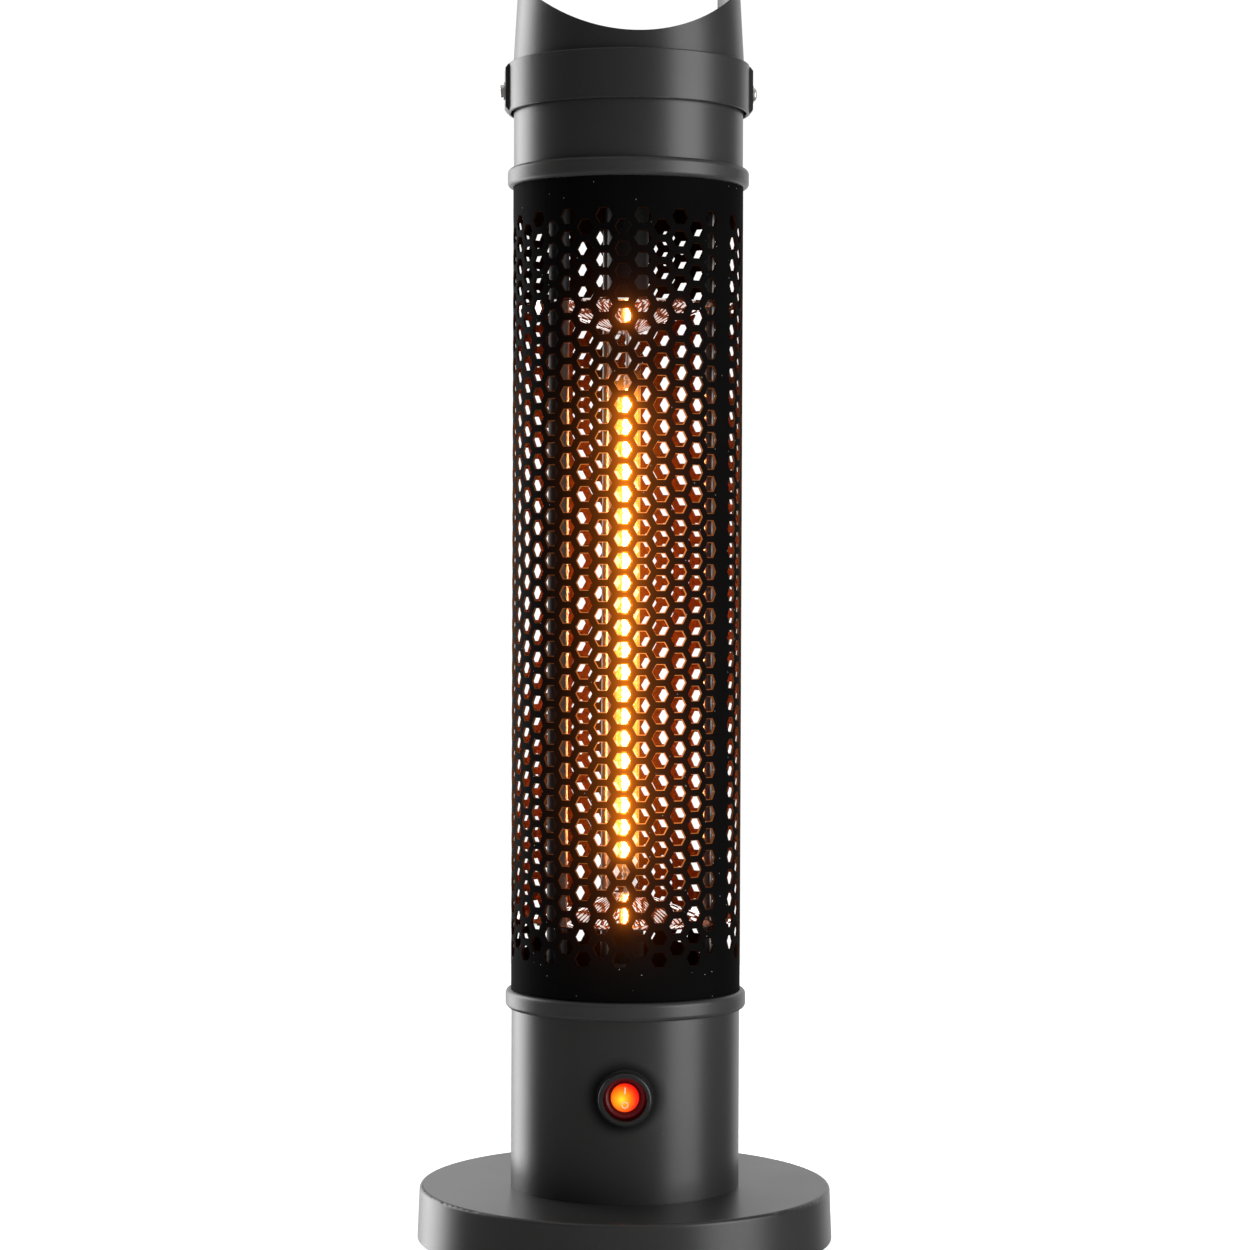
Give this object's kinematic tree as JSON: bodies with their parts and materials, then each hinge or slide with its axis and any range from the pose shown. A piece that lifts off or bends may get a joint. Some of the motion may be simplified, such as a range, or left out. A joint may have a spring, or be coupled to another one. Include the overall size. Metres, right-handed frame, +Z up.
{
  "type": "electric patio heater",
  "caption": "Free-standing tower heater: round weighted base, rocker switch, hex-perforated tube around an upright glowing quartz element, and a scooped carrying handle on top.",
  "frame": {"origin": "on the floor, under the axis of the tube", "axes": "+Z up along the tube, -Y to the front with the switch, +X to the right seen from the front"},
  "size_m": [0.207, 0.207, 0.6599],
  "materials": {
    "charcoal_coat": "satin charcoal powder coat",
    "grille_black": "matte black heat-proof paint",
    "trim_plastic": "satin moulded dark grey",
    "grip_plastic": "moulded black",
    "black_plastic": "moulded black",
    "black_rubber": "matte",
    "weight_iron": "as cast",
    "plated_steel": "zinc plated",
    "stainless": "polished",
    "conduit_steel": "dark satin",
    "mirror_sheet": "polished",
    "quartz": "clear",
    "hot_carbon": "glowing carbon fibre rope",
    "cap_ceramic": "dark, unglazed",
    "terminal_brass": "plain",
    "rocker_red": "dark translucent red",
    "lens_lit": "lit from behind",
    "mark_white": "printed",
    "wire_sleeve": "braided sleeve"
  },
  "bodies": {
    "heater": {"base_shell": "charcoal_coat", "lower_tube": "charcoal_coat", "head_tube": "charcoal_coat", "handle_shell": "charcoal_coat", "handle_band": "charcoal_coat", "head_lid": "charcoal_coat", "grille": "grille_black", "lower_trim_ring": "trim_plastic", "upper_trim_ring": "trim_plastic", "grip": "grip_plastic", "switch_housing": "black_plastic", "cord_gland": "black_plastic", "gland_nut": "black_plastic", "tip_switch_housing": "black_plastic", "rubber_feet": "black_rubber", "switch_gasket": "black_rubber", "base_weight": "weight_iron", "base_bottom_cover": "plated_steel", "tube_foot": "plated_steel", "tube_foot_screws": "plated_steel", "foot_screws": "plated_steel", "lower_bulkhead": "plated_steel", "upper_bulkhead": "plated_steel", "element_cup_lower": "plated_steel", "rod_nuts": "plated_steel", "rod_collars": "plated_steel", "handle_nuts": "plated_steel", "band_spacers": "plated_steel", "thermal_cutout": "plated_steel", "tip_spring": "plated_steel", "handle_screws": "stainless", "handle_washers": "stainless", "grip_screws": "stainless", "filament_leads": "stainless", "filament_clamps": "stainless", "wire_conduit": "conduit_steel", "tie_rods": "conduit_steel", "element_sleeve_upper": "conduit_steel", "lower_reflector": "mirror_sheet", "upper_reflector": "mirror_sheet", "quartz_tube": "quartz", "carbon_filament": "hot_carbon", "ceramic_cap_lower": "cap_ceramic", "ceramic_cap_upper": "cap_ceramic", "terminal_block": "cap_ceramic", "switch_terminals": "terminal_brass", "indicator_lamp": "lens_lit", "element_wire_lower": "wire_sleeve", "element_wire_upper": "wire_sleeve", "switch_wire": "wire_sleeve"},
    "rocker_body": {"rocker": "rocker_red", "rocker_lens": "lens_lit", "rocker_marks": "mark_white"},
    "plunger_body": {"tip_plunger": "black_plastic"}
  },
  "joints": [
    {"name": "rocker_tip", "type": "hinge", "parent": "heater", "child": "rocker_body", "pos_m": [0, -0.054, 0.0804], "axis": [1, 0, 0], "range_deg": [0, 12]},
    {"name": "tip_plunger_slide", "type": "slide", "parent": "heater", "child": "plunger_body", "axis": [0, 0, -1], "range_m": [-0.001, 0.004], "stiffness_N_per_m": 120, "springref_m": 0.006, "deforming": ["tip_spring"]}
  ]
}
